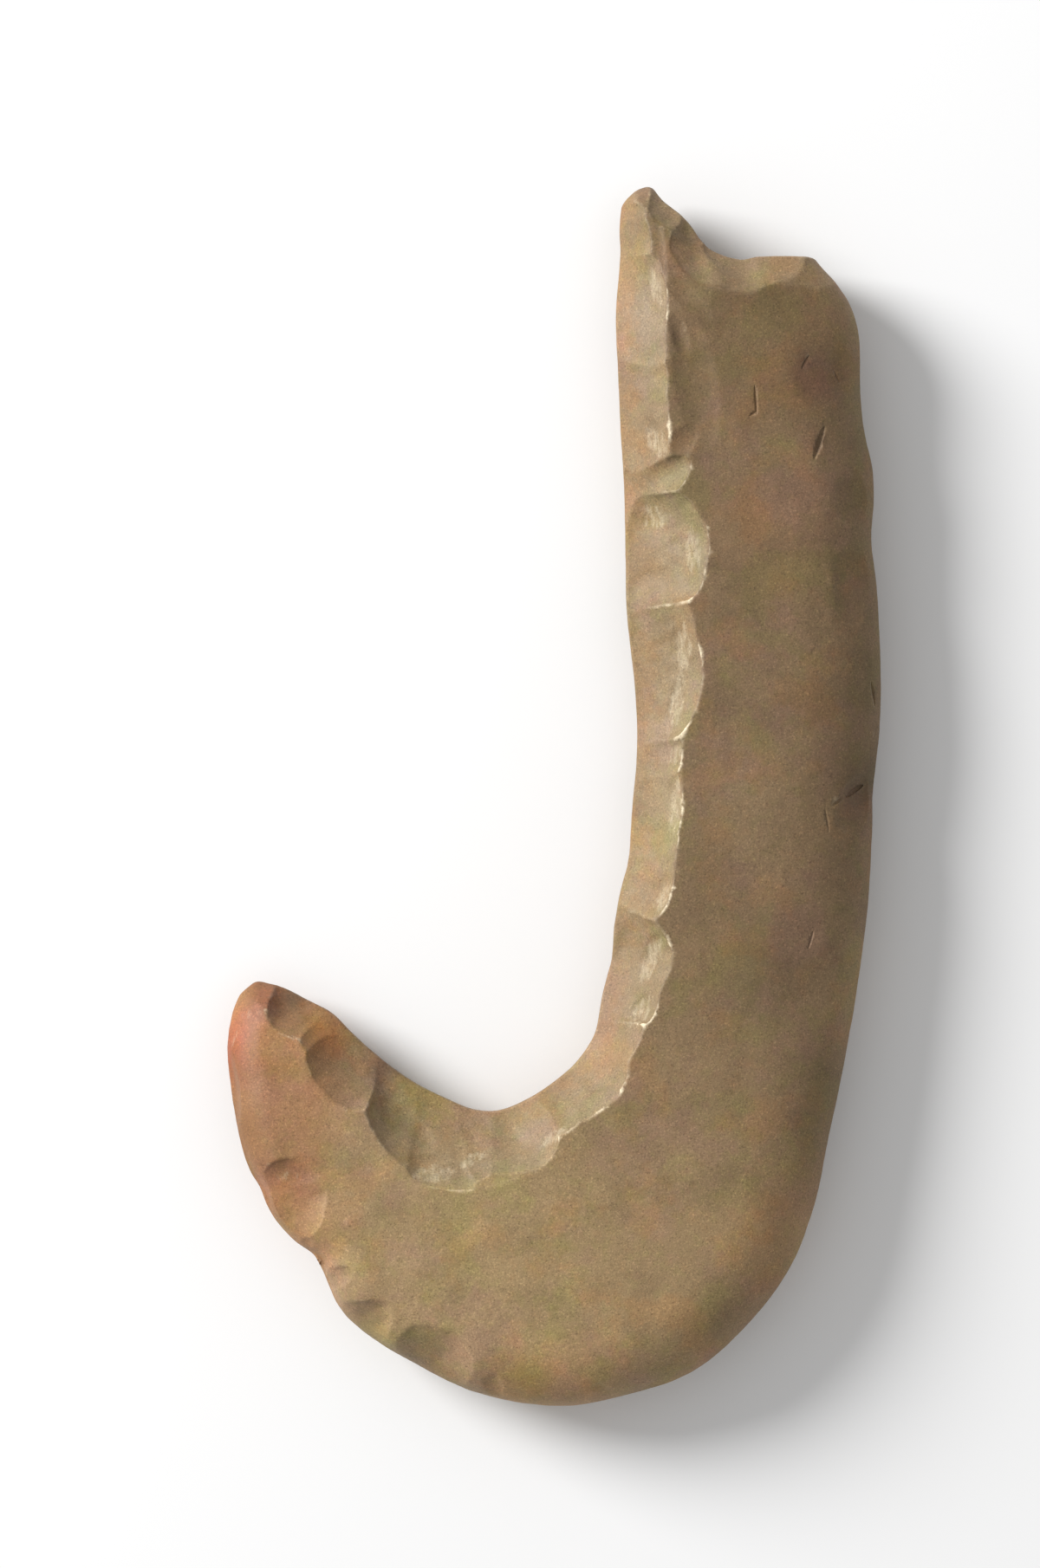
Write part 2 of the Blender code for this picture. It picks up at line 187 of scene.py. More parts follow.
# How a bruised spot and a painted glint fade from the middle to the rim, and up the side of the stone
SPOT_FADE = (-1.15, -0.35)
SIDE_FADE = (0.3 * FACE_HEIGHT, 0.45 * FACE_HEIGHT)
# Lumps that roughen the whole skin, and the bruises: name, size and height
RELIEF = (("swell", 9 * MM, 0.22 * MM), ("waves", 3 * MM, 0.07 * MM), ("ripple", 1.1 * MM, 0.018 * MM))
CRUMBS = (("crumbs", 0.7 * MM, 0.10 * MM), ("grit", 0.35 * MM, 0.06 * MM))
BRUISE_STEPS = 8
ARRIS_GAIN = 6

# Flake scars along an edge: the point of the edge that each is struck from, its width along the
# edge and its reach over the face in pixels, how deep it bites there, how square its outline is,
# how far it leans along the edge as it runs in, and the power of its fall, which is 1 for a
# straight bevel, less for a hollow one and more for a swelling one. The bite is a share of the
# edge's height along the inner and the outer edge, and is in mm at the broken end.
INNER_SCARS = (
    (718, 286, 170, 32, 0.68, 2.4, 0.0, 1.25),
    (714, 366, 164, 56, 0.72, 3.0, 0.0, 1.25),
    (718, 486, 196, 54, 0.74, 3.4, 0.0, 1.25),
    (725, 572, 64, 76, 0.92, 2.2, -0.42, 0.75),
    (725, 637, 148, 92, 0.84, 2.8, 0.0, 1.25),
    (732, 762, 196, 77, 0.80, 2.5, 0.0, 1.25),
    (736, 818, 120, 46, 0.90, 2.2, -0.35, 1.25),
    (738, 874, 66, 50, 0.80, 3.0, 0.0, 1.25),
    (734, 938, 150, 54, 0.78, 3.6, 0.10, 1.25),
    (724, 1010, 110, 54, 0.76, 3.0, 0.0, 1.25),
    (706, 1117, 142, 65, 0.80, 3.2, 0.0, 1.25),
    (689, 1196, 110, 48, 0.76, 2.8, 0.0, 1.25),
    (664, 1232, 110, 56, 0.74, 2.8, 0.0, 1.25),
    (620, 1266, 104, 52, 0.75, 3.0, 0.0, 1.25),
    (582, 1284, 100, 73, 0.78, 2.8, 0.0, 1.25),
    (540, 1284, 96, 82, 0.80, 2.8, 0.1, 1.25),
    (502, 1266, 96, 98, 0.82, 2.6, -0.3, 1.25),
    (464, 1244, 92, 92, 0.82, 3.0, -0.62, 1.25),
    (424, 1212, 112, 72, 0.79, 2.6, 0.0, 1.25),
    (392, 1184, 84, 54, 0.80, 2.8, 0.2, 1.25),
    (350, 1155, 84, 48, 0.84, 2.4, 0.0, 1.25),
)
OUTER_SCARS = (
    (990, 352, 96, 50, 0.52, 2.4, 0.0, 1.3),
    (1015, 578, 92, 66, 0.64, 2.8, 0.0, 1.1),
    (1017, 668, 122, 70, 0.66, 3.4, 0.1, 1.0),
    (1020, 756, 66, 34, 0.52, 2.2, 0.0, 1.2),
    (1021, 832, 88, 40, 0.56, 2.2, 0.2, 1.2),
    (1014, 924, 88, 64, 0.68, 2.4, 0.3, 1.3),
    (1006, 1060, 120, 44, 0.50, 2.4, 0.0, 1.3),
    (985, 1200, 150, 48, 0.50, 2.6, 0.0, 1.3),
    (862, 1538, 120, 46, 0.52, 2.2, 0.2, 1.2),
    (780, 1600, 70, 40, 0.60, 2.2, 0.0, 1.0),
    (692, 1623, 72, 40, 0.96, 1.8, 0.0, 0.6),
    (570, 1618, 64, 44, 0.80, 1.8, 0.2, 0.7),
    (494, 1588, 132, 60, 0.97, 2.0, 0.0, 0.55),
    (414, 1538, 88, 52, 0.96, 1.8, 0.0, 0.6),
    (374, 1484, 60, 38, 0.90, 1.8, 0.0, 0.6),
    (350, 1446, 40, 30, 0.90, 1.8, 0.0, 0.6),
    (312, 1408, 130, 76, 0.52, 1.9, 0.0, 0.8),
    (286, 1356, 50, 32, 0.62, 1.8, 0.0, 0.7),
    (262, 1240, 190, 26, 0.45, 3.0, 0.0, 1.3),
)
BREAK_SCARS = (
    (784, 241, 96, 26, 1.3, 2.2, 0.0, 1.2),
    (824, 284, 104, 44, 1.7, 2.4, 0.0, 1.2),
    (868, 293, 110, 42, 2.0, 3.0, 0.0, 1.2),
    (926, 291, 130, 42, 2.1, 3.0, 0.0, 1.2),
)
# Long shallow facets and dips out on the face: x, y, the way that they run in degrees from the
# photograph's right, turning up, half length and half breadth in pixels, depth in mm
FACETS = (
    (757, 290, -84, 56, 12, 0.20),
    (790, 298, -66, 60, 26, 0.16),
    (796, 346, -42, 34, 12, 0.16),
    (803, 440, -80, 80, 26, 0.24),
    (784, 386, -74, 28, 10, 0.16),
    (782, 516, 50, 34, 16, 0.20),
    (770, 542, 34, 30, 12, 0.10),
    (783, 738, 80, 24, 9, 0.16),
    (781, 812, 76, 42, 10, 0.24),
    (760, 778, -70, 30, 12, 0.12),
    (778, 925, 84, 46, 8, 0.20),
    (752, 905, 80, 40, 12, 0.12),
    (763, 1030, 60, 26, 9, 0.20),
    (752, 1105, 70, 34, 11, 0.24),
    (728, 1080, 66, 30, 11, 0.12),
    (738, 1168, 58, 26, 10, 0.20),
    (790, 650, -76, 42, 13, 0.18),
    (748, 600, -20, 24, 14, 0.16),
    (752, 668, 20, 30, 14, 0.12),
    (752, 340, -82, 32, 9, 0.18),
    (757, 506, -72, 30, 10, 0.22),
    (738, 455, 84, 40, 10, 0.10),
    (505, 1346, -6, 44, 11, 0.20),
    (478, 1306, -50, 34, 13, 0.14),
    (578, 1328, 12, 40, 14, 0.14),
    (662, 1266, 44, 34, 12, 0.14),
    (398, 1222, -60, 30, 14, 0.12),
    (942, 434, -70, 42, 26, 0.12),
    (470, 1424, 20, 110, 40, 0.10),
    (345, 1352, 8, 48, 17, 0.09),
    (1002, 909, 24, 36, 19, 0.26),
    (545, 1358, 4, 60, 15, 0.20),
    (905, 610, -84, 190, 52, 0.10),
    (845, 1010, -88, 260, 44, 0.10),
    (900, 1230, 80, 170, 60, 0.10),
    (640, 1480, 14, 210, 60, 0.12),
    (350, 1260, -60, 90, 34, 0.10),
)
# Cracks and little gouges, in the same form
CRACKS = (
    (872, 461, -86, 17, 2.2, 0.10),
    (869, 477, 30, 5, 2.0, 0.08),
    (946, 510, 72, 21, 3.6, 0.17),
    (967, 433, -64, 9, 2.2, 0.06),
    (930, 417, 60, 9, 4.5, 0.05),
    (936, 1085, 74, 11, 2.2, 0.08),
    (988, 913, 34, 15, 2.8, 0.13),
    (967, 926, 40, 13, 2.4, 0.10),
    (955, 947, -80, 14, 2.2, 0.07),
    (1010, 800, -80, 15, 3.0, 0.14),
)
# Crumbled spots, whitened as chalky stone and by painted sheen, in the same form but with no depth
BRUISES = (
    (757, 330, -78, 34, 10),
    (788, 378, 60, 16, 8),
    (758, 508, -60, 26, 13),
    (756, 594, -14, 24, 16),
    (800, 634, -86, 34, 12),
    (790, 748, 86, 38, 12),
    (781, 812, 77, 46, 12),
    (778, 872, 66, 16, 8),
    (780, 930, 84, 48, 9),
    (766, 1036, 60, 24, 9),
    (752, 1108, 68, 36, 12),
    (742, 1168, 54, 28, 12),
    (288, 1172, 14, 20, 7),
    (269, 1200, 68, 18, 6),
    (340, 1203, -30, 12, 6),
    (500, 1356, 8, 30, 13),
    (546, 1340, 26, 26, 9),
    (640, 1312, 40, 26, 8),
    (332, 1359, 6, 22, 8),
    (1014, 846, 60, 10, 7),
    (400, 1287, -30, 12, 8),
    (402, 1414, -50, 12, 7),
)
# Stretches of arris where a highlight is painted, in the same form
PAINTED_GLINTS = (
    (736, 256, -70, 24, 10),
    (768, 350, -80, 34, 12),
    (768, 500, 80, 26, 10),
    (782, 546, 40, 26, 16),
    (817, 614, -90, 40, 12),
    (803, 676, 60, 34, 12),
    (776, 706, 0, 26, 10),
    (804, 760, -84, 34, 12),
    (790, 826, 74, 36, 12),
    (786, 880, 84, 18, 9),
    (786, 946, 80, 44, 10),
    (768, 1036, 60, 24, 12),
    (773, 1080, 90, 24, 8),
    (748, 1172, 50, 22, 12),
    (706, 1264, 44, 40, 12),
    (643, 1309, 40, 26, 10),
    (330, 1198, -30, 20, 8),
    (440, 1282, 90, 24, 7),
    (288, 1172, 14, 20, 8),
    (520, 1368, -10, 34, 10),
)


def spot(x, y, z=0.0):
    """The place of a pixel of the photograph, in metres, at a height."""
    return Vector(((x - MIDDLE_X) * PIXEL, (MIDDLE_Y - y) * PIXEL, z))


def only(piece):
    """Selects one object and makes it the active one."""
    bpy.ops.object.select_all(action="DESELECT")
    piece.select_set(True)
    bpy.context.view_layer.objects.active = piece


def modify(piece, kind, **values):
    """Adds a modifier and applies it."""
    only(piece)
    modifier = piece.modifiers.new(kind.lower(), kind)
    for name, value in values.items():
        setattr(modifier, name, value)
    bpy.ops.object.modifier_apply(modifier=modifier.name)


def roughen(piece, lumps, group=""):
    """Raises and sinks a surface by soft lumps of some sizes, all over or in a vertex group."""
    for name, size, height in lumps:
        texture = bpy.data.textures.new(name, "CLOUDS")
        texture.noise_scale = size
        texture.noise_depth = 2
        texture.noise_basis = "BLENDER_ORIGINAL"
        modify(piece, "DISPLACE", texture=texture, strength=height, texture_coords="LOCAL",
               vertex_group=group)


def places_of(piece, what="co"):
    """The places or the normals of a piece's vertices, as rows."""
    found = np.empty(len(piece.data.vertices) * 3, np.float32)
    piece.data.vertices.foreach_get(what, found)
    return found.reshape(-1, 3).astype(float)


def pixels_of(places):
    """The pixels of the photograph over which places stand."""
    return np.stack([places[:, 0] / PIXEL + MIDDLE_X, MIDDLE_Y - places[:, 1] / PIXEL], axis=1)


def move_to(piece, places):
    """Puts a piece's vertices at new places."""
    piece.data.vertices.foreach_set("co", places.astype(np.float32).ravel())
    piece.data.update()


def store(piece, name, values):
    """Keeps one number for each vertex, for the material to read."""
    layer = piece.data.attributes.get(name) or piece.data.attributes.new(name, "FLOAT", "POINT")
    layer.data.foreach_set("value", values.astype(np.float32))


def rise(values, low, high):
    """0 below low, 1 above high, and smooth between them."""
    share = np.clip((values - low) / (high - low), 0, 1)
    return share * share * (3 - 2 * share)


def read(rows, at):
    """Reads a table whose first column is a station, along a smooth curve through its rows."""
    table = np.array(rows, float)
    knots, values = table[:, 0], table[:, 1:]
    slopes = np.gradient(values, knots, axis=0)
    at = np.clip(at, knots[0], knots[-1])
    k = np.clip(np.searchsorted(knots, at) - 1, 0, len(knots) - 2)
    width = (knots[k + 1] - knots[k])[:, None]
    t = (at - knots[k])[:, None] / width
    from_start = (1 + 2 * t) * (1 - t) ** 2 * values[k] + t * (1 - t) ** 2 * width * slopes[k]
    return from_start + t * t * (3 - 2 * t) * values[k + 1] + t * t * (t - 1) * width * slopes[k + 1]


def level_at(rows, stations):
    """A height in metres, read from a table of shares of the thickness."""
    return np.clip(read(rows, stations)[:, 0], 0, 1) * FACE_HEIGHT


def waves(pixels, size, seed, count=10):
    """An uneven swell of about unit height whose waves are about this many pixels long."""
    random = np.random.default_rng(seed)
    total = np.zeros(len(pixels))
    for turn, shift, stretch in random.uniform(0, 1, (count, 3)):
        length = size * (0.7 + 0.7 * stretch)
        heading = 2 * math.pi * turn
        along = pixels[:, 0] * math.cos(heading) + pixels[:, 1] * math.sin(heading)
        total += np.sin(2 * math.pi * (along / length + shift))
    return total * math.sqrt(2 / count)


def swells(pixels, rows):
    return sum(height * waves(pixels, length, seed) for height, length, seed in rows)


class Edge:
    """One edge of the worked face, and how far along it and away from it places are."""

    SAMPLES = 3000

    def __init__(self, rows):
        self.stations = np.linspace(rows[0][0], rows[-1][0], self.SAMPLES)
        line = read(rows, self.stations)
        steps = np.linalg.norm(np.diff(line, axis=0), axis=1)
        self.runs = np.concatenate([[0], np.cumsum(steps)])
        self.tree = KDTree(self.SAMPLES)
        for number, (x, y) in enumerate(line):
            self.tree.insert((x, y, 0), number)
        self.tree.balance()

    def trace(self, pixels):
        """The station, the run along the edge and the distance from it, in pixels."""
        found = [self.tree.find((x, y, 0))[1:] for x, y in pixels]
        numbers = np.array([number for number, _ in found])
        return self.stations[numbers], self.runs[numbers], np.array([gap for _, gap in found])

    def run_at(self, x, y):
        return self.runs[self.tree.find((x, y, 0))[1]]


def scar_share(edge, run, away, x, y, width, reach, squareness, lean):
    """How far over a scar each place is: 0 at the edge of the stone and 1 at the scar's rim."""
    aside = np.abs(run - edge.run_at(x, y) - lean * away) / (width / 2)
    outline = np.clip(1 - aside**squareness, 1e-6, 1) ** (1 / squareness)
    return np.where(aside < 1, away / (reach * outline), 2.0), aside


def ellipse_share(pixels, x, y, heading, half_length, half_breadth):
    """How far out of an ellipse each pixel is: 0 in its middle and 1 on its rim."""
    turn = math.radians(heading)
    across, down = pixels[:, 0] - x, pixels[:, 1] - y
    along = (across * math.cos(turn) - down * math.sin(turn)) / half_length
    aside = (across * math.sin(turn) + down * math.cos(turn)) / half_breadth
    return np.hypot(along, aside)


def strike(edge, run, away, scars, height, end_loss):
    """How deep the scars along an edge cut, how far over the deepest a place is, and its number."""
    cut, verge, deepest = np.zeros(len(run)), np.zeros(len(run)), np.full(len(run), -1)
    for number, (x, y, width, reach, bite, squareness, lean, fall) in enumerate(scars):
        over, aside = scar_share(edge, run, away, x, y, width, reach, squareness, lean)
        depth = bite * height * (1 - end_loss * aside**2) * (1 - np.clip(over, 0, 1) ** fall)
        deeper = depth > cut
        cut[deeper] = depth[deeper]
        verge[deeper] = over[deeper]
        deepest[deeper] = number
    return cut, verge, deepest


def rounding(away, width, height):
    """How far a quarter of an ellipse falls below the face, this near to the edge."""
    inside = np.clip(1 - np.maximum(away, NEAREST_AWAY) * PIXEL / width, 0, 1)
    return height * (1 - np.sqrt(1 - inside**2))


INNER = Edge(INNER_EDGE)
OUTER = Edge(OUTER_EDGE)
BROKEN = Edge(BREAK_EDGE)
CENTRE = Edge(CENTRE_LINE)


def worked_face(pixels):
    """The height of the worked face over pixels, the rim below it, and what marks its skin."""
    stations = CENTRE.trace(pixels)[0]
    inner_run, inner_away = INNER.trace(pixels)[1:]
    outer_run, outer_away = OUTER.trace(pixels)[1:]
    break_run, break_away = BROKEN.trace(pixels)[1:]
    face, under = level_at(FACE_LEVELS, stations), level_at(UNDER_LEVELS, stations)
    inner_height = (1 - INNER_RIM_SHARE) * (face - under)
    outer_height = (1 - OUTER_RIM_SHARE) * (face - under)
    ragged, sideways = swells(pixels, RIM_WAVES), swells(pixels, SIDEWAYS_WAVES)

    def struck(edge, run, away, scars, height, end_loss):
        uneven = np.maximum(away + ragged * rise(away, *RIM_WAVES_FADE_IN), 0)
        return strike(edge, run + sideways, uneven, scars, height, end_loss)

    inner_cut, verge, deepest = struck(
        INNER, inner_run, inner_away, INNER_SCARS, inner_height, INNER_END_LOSS
    )
    outer_cut = struck(OUTER, outer_run, outer_away, OUTER_SCARS, outer_height, OUTER_END_LOSS)[0]
    break_cut = struck(BROKEN, break_run, break_away, BREAK_SCARS, MM, 0)[0]

    outer_width = OUTER_ROUND * read(OUTER_ROUND_SHARES, stations)[:, 0]
    outer_round = rounding(outer_away, outer_width, outer_height)
    inner_drop = np.maximum(rounding(inner_away, INNER_ROUND, inner_height), inner_cut)
    outer_drop = np.maximum(outer_round, outer_cut)
    break_drop = np.maximum(rounding(break_away, BREAK_ROUND, MM), break_cut)
    drop = np.maximum(np.maximum(inner_drop, outer_drop), break_drop)
    for x, y, heading, half_length, half_breadth, depth in FACETS:
        out = ellipse_share(pixels, x, y, heading, half_length, half_breadth)
        drop = drop + depth * MM * (1 - np.clip(out, 0, 1) ** 2)
    drop = drop + CROWN_DROP * np.clip((pixels[:, 0] - CROWN_START_X) / CROWN_RUN, 0, 1) ** 2
    rim_share = np.where(inner_away < outer_away, INNER_RIM_SHARE, OUTER_RIM_SHARE)
    return {
        "top": np.maximum(face - drop, under + LEAST_LEFT * (face - under)),
        "rim": under + rim_share * (face - under),
        "inland": np.minimum(np.minimum(inner_away, outer_away), break_away),
        "scar": rise(inner_cut, *SCAR_SHOWS),
        "painted_scar_shade": np.where(deepest < 0, PLAIN_SCAR_SHADE, (deepest * SCAR_SHADE_STEP) % 1),
        "verge": verge,
        "outer_scarred": rise(outer_cut - outer_round, *OUTER_SCARRED_SHOWS),
        "broken": rise(break_cut, *BREAK_SHOWS),
    }


def rough_copy():
    """A merged copy of the solid, remeshed and softened until its flat facets are gone."""
    stone = frame["nodes"]["fish_hook"].copy()
    stone.data = stone.data.copy()
    stone.name = "hook_stone"
    for key in list(stone.keys()):
        del stone[key]
    stone.parent = None
    bpy.context.scene.collection.objects.link(stone)
    only(stone)
    bpy.ops.object.mode_set(mode="EDIT")
    bpy.ops.mesh.select_all(action="SELECT")
    bpy.ops.mesh.remove_doubles(threshold=MERGE_GAP)
    bpy.ops.object.mode_set(mode="OBJECT")
    modify(stone, "REMESH", mode="VOXEL", voxel_size=SOFT_VOXEL)
    modify(stone, "SMOOTH", factor=0.5, iterations=SOFT_STROKES)
    return stone


def carve(stone, gentle_only):
    """Moves the worked face to its height: all of it, or only where it isn't steep."""
    places, normals = places_of(stone), places_of(stone, "normal")
    above = np.flatnonzero(places[:, 2] > CARVED_FROM)
    shape = worked_face(pixels_of(places[above]))
    height = places[above, 2]
    share = rise(height, *(shape["rim"] + step for step in RIM_FADE))
    if gentle_only:
        share = share * rise(normals[above, 2], *STEEP_FADE) * rise(shape["inland"], *INLAND_FADE)
    places[above, 2] = height + share * (shape["top"] - height)
    move_to(stone, places)


def crack_open(stone):
    """Cuts the cracks and gouges with narrow bowls that lie along them."""
    flakes = bpy.data.collections.new("cracks")
    bpy.context.scene.collection.children.link(flakes)
    for x, y, heading, half_length, half_breadth, depth in CRACKS:
        turn = math.radians(heading)
        reach = 0.7 * half_length
        across, down = reach * math.cos(turn), -reach * math.sin(turn)
        stops = np.array([[x - across, y - down], [x, y], [x + across, y + down]])
        start, middle, end = worked_face(stops)["top"]
        bpy.ops.object.select_all(action="DESELECT")
        bpy.ops.mesh.primitive_uv_sphere_add(segments=24, ring_count=12, radius=1)
        bowl = bpy.context.object
        bowl.scale = half_length * PIXEL, half_breadth * PIXEL, depth * MM
        bowl.rotation_euler = 0, -math.atan2(end - start, 2 * reach * PIXEL), turn
        bowl.location = spot(x, y, middle)
        bpy.ops.object.transform_apply(location=True, rotation=True, scale=True)
        for holder in list(bowl.users_collection):
            holder.objects.unlink(bowl)
        flakes.objects.link(bowl)
    modify(stone, "BOOLEAN", operation="DIFFERENCE", solver="MANIFOLD",
           operand_type="COLLECTION", collection=flakes)
    for bowl in list(flakes.objects):
        bpy.data.objects.remove(bowl)
    bpy.data.collections.remove(flakes)


def nearness_to(stone, spots):
    """How near each vertex of the worked side is to the nearest of some spots."""
    places = places_of(stone)
    pixels = pixels_of(places)
    nearest = np.full(len(places), 9.0)
    for ellipse in spots:
        nearest = np.minimum(nearest, ellipse_share(pixels, *ellipse))
    return rise(-nearest, *SPOT_FADE) * rise(places[:, 2], *SIDE_FADE)


def crumble(stone, nearness):
    """Roughens the bruised spots."""
    group = stone.vertex_groups.new(name="bruised")
    levels = np.round(nearness * BRUISE_STEPS).astype(int)
    for level in range(1, BRUISE_STEPS + 1):
        group.add(np.flatnonzero(levels == level).tolist(), level / BRUISE_STEPS, "REPLACE")
    roughen(stone, CRUMBS, group.name)
    stone.vertex_groups.clear()


def fit_in_box(stone):
    """Draws the skin in wherever the relief has carried it past the solid's own box."""
    places = places_of(stone)
    low, high = places.min(axis=0), places.max(axis=0)
    wanted_low = np.maximum(np.array(CAD_BOX[0]), low)
    wanted_high = np.minimum(np.array(CAD_BOX[1]), high)
    wanted_low[2] = CAD_BOX[0][2]
    move_to(stone, wanted_low + (places - low) * (wanted_high - wanted_low) / (high - low))


def mark_skin(stone):
    """Stores what the material reads: scars and their painted shades, outer scars, broken stone,
    bruises with their painted sheen, and painted glints.
    """
    places = places_of(stone)
    shape = worked_face(pixels_of(places))
    worked = rise(places[:, 2], shape["rim"] - MARK_FADE, shape["rim"] + MARK_FADE)
    for name in ("scar", "outer_scarred", "broken"):
        store(stone, name, shape[name] * worked)
    store(stone, "painted_scar_shade", shape["painted_scar_shade"])
    store(stone, "verge", shape["verge"])
    store(stone, "bruise_and_sheen", nearness_to(stone, BRUISES))
    store(stone, "painted_glint", nearness_to(stone, PAINTED_GLINTS))


def mark_relief(stone):
    """Stores how sharply the surface turns out at an arris or in at a hollow, for the material."""
    mesh = stone.data
    count = len(mesh.vertices)
    places, normals = places_of(stone), places_of(stone, "normal")
    ends = np.empty(len(mesh.edges) * 2, np.int32)
    mesh.edges.foreach_get("vertices", ends)
    first, second = ends.reshape(-1, 2).T
    neighbours = np.maximum(np.bincount(ends, minlength=count), 1)

    def around(values, others):
        """The mean, at each vertex, of what its edges carry from their other ends."""
        total = np.bincount(first, others, count) + np.bincount(second, values, count)
        return total / neighbours

    middle = np.stack([around(column[first], column[second]) for column in places.T], axis=1)
    lengths = np.linalg.norm(places[first] - places[second], axis=1)
    turn = ((places - middle) * normals).sum(axis=1) / around(lengths, lengths)
    for _ in range(2):
        turn = 0.5 * turn + 0.5 * around(turn[first], turn[second])
    store(stone, "arris", np.clip(turn * ARRIS_GAIN, 0, 1))
    store(stone, "hollow", np.clip(-turn * ARRIS_GAIN, 0, 1))


def make_hook():
    """The whole hook, from the rough copy to the finished skin."""
    stone = rough_copy()
    carve(stone, gentle_only=False)
    modify(stone, "REMESH", mode="VOXEL", voxel_size=FINE_VOXEL)
    carve(stone, gentle_only=True)
    crack_open(stone)
    roughen(stone, RELIEF)
    crumble(stone, nearness_to(stone, BRUISES))
    stone.data.calc_loop_triangles()
    modify(stone, "DECIMATE", ratio=min(1, TRIANGLES / len(stone.data.loop_triangles)))
    fit_in_box(stone)
    mark_skin(stone)
    mark_relief(stone)
    only(stone)
    bpy.ops.object.shade_smooth()
    return stone


class Nodes:
    """Short ways to add the nodes of a material. A share is from 0 to 1."""

    def __init__(self, name):
        self.material = bpy.data.materials.new(name)
        self.material.use_nodes = True
        self.tree = self.material.node_tree
        self.shader = self.tree.nodes["Principled BSDF"]
        self.place = self.tree.nodes.new("ShaderNodeTexCoord").outputs["Object"]

    def feed(self, socket, value):
        if isinstance(value, bpy.types.NodeSocket):
            self.tree.links.new(value, socket)
        else:
            socket.default_value = value

    def noise(self, size, detail=3.0, roughness=0.55, shift=0.0, distortion=0.0, stretch=1.0):
        """A noise with lumps of a size, drawn out along the shank by a factor.

        A shift, in mm, keeps it from repeating another.
        """
        moved = self.tree.nodes.new("ShaderNodeMapping")
        self.feed(moved.inputs["Vector"], self.place)
        moved.inputs["Location"].default_value = (shift * MM, -2 * shift * MM, 3 * shift * MM)
        moved.inputs["Scale"].default_value = (1, 1 / stretch, 1)
        node = self.tree.nodes.new("ShaderNodeTexNoise")
        self.feed(node.inputs["Vector"], moved.outputs["Vector"])
        node.inputs["Scale"].default_value = 1 / size
        node.inputs["Detail"].default_value = detail
        node.inputs["Roughness"].default_value = roughness
        node.inputs["Distortion"].default_value = distortion
        return node.outputs["Fac"]

    def band(self, value, low, high, top=1.0):
        """Nothing below low, rising smoothly to top at high."""
        node = self.tree.nodes.new("ShaderNodeMapRange")
        node.interpolation_type = "SMOOTHSTEP"
        self.feed(node.inputs["Value"], value)
        node.inputs["From Min"].default_value = low
        node.inputs["From Max"].default_value = high
        node.inputs["To Min"].default_value = 0
        node.inputs["To Max"].default_value = top
        return node.outputs["Result"]

    def lumps(self, low, high, top, *noise, **more):
        """The parts of a noise between two levels."""
        return self.band(self.noise(*noise, **more), low, high, top)

    def combine(self, operation, a, b):
        node = self.tree.nodes.new("ShaderNodeMath")
        node.operation = operation
        self.feed(node.inputs[0], a)
        self.feed(node.inputs[1], b)
        return node.outputs["Value"]

    def plus(self, a, b):
        return self.combine("ADD", a, b)

    def times(self, a, b):
        return self.combine("MULTIPLY", a, b)

    def tint(self, share, a, b, kind="MIX"):
        """Colour a going over to colour b, or multiplied by it."""
        node = self.tree.nodes.new("ShaderNodeMix")
        node.data_type = "RGBA"
        node.blend_type = kind
        self.feed(node.inputs["Factor"], share)
        self.feed(node.inputs["A"], a)
        self.feed(node.inputs["B"], b)
        return node.outputs["Result"]

    def stain(self, share, colour, factors):
        return self.tint(share, colour, (*factors, 1), "MULTIPLY")

    def near(self, x, y, inner, outer, top=1.0):
        """How near the surface is to a pixel: top within the inner radius, 0 past the outer one."""
        flat = self.tree.nodes.new("ShaderNodeVectorMath")
        flat.operation = "MULTIPLY"
        self.feed(flat.inputs[0], self.place)
        flat.inputs[1].default_value = (1, 1, 0)
        away = self.tree.nodes.new("ShaderNodeVectorMath")
        away.operation = "DISTANCE"
        self.feed(away.inputs[0], flat.outputs["Vector"])
        away.inputs[1].default_value = spot(x, y)
        return self.band(away.outputs["Value"], outer * PIXEL, inner * PIXEL, top)

    def attribute(self, name):
        node = self.tree.nodes.new("ShaderNodeAttribute")
        node.attribute_name = name
        return node.outputs["Fac"]

    def bump(self, height, strength, distance, below=None):
        node = self.tree.nodes.new("ShaderNodeBump")
        self.feed(node.inputs["Height"], height)
        node.inputs["Strength"].default_value = strength
        node.inputs["Distance"].default_value = distance
        if below is not None:
            self.feed(node.inputs["Normal"], below)
        return node.outputs["Normal"]


def paint(red, green, blue):
    """A colour given as it is seen on a screen, from 0 to 255."""
    return (*(((value / 255 + 0.055) / 1.055) ** 2.4 for value in (red, green, blue)), 1.0)


# The stone's own colours, and the painted light and shade laid over them
SHANK = paint(122, 99, 71)
# Paler on the bend: the stone's own colour, and a painted pool of light
BEND_STONE_AND_LIGHT = paint(153, 128, 91)
POINT = paint(147, 108, 73)
# Lighter in the inner scars: fresher stone, and painted light on the bevel that faces the lamp
FRESH_STONE_AND_LIGHT = paint(141, 119, 87)
BREAK = paint(138, 116, 87)
# Painted highlight on the arrises
PAINTED_ARRIS_HIGHLIGHT = paint(232, 216, 184)
# Chalky whitening of the bruises, with painted sheen
CHALK_AND_SHEEN = paint(200, 186, 158)
# Painted shade in the hollows
PAINTED_HOLLOW_SHADE = paint(74, 56, 40)
# Where the bend's colour and painted light and the point's colour spread, and where the scars stay
# dark: x, y, inner and outer radius in pixels, and how strongly
BEND_SPREAD = (540, 1500, 60, 520, 1.0)
POINT_SPREAD = (250, 1270, 40, 250, 1.0)
POINT_SCARS = (360, 1180, 90, 190, 0.85)
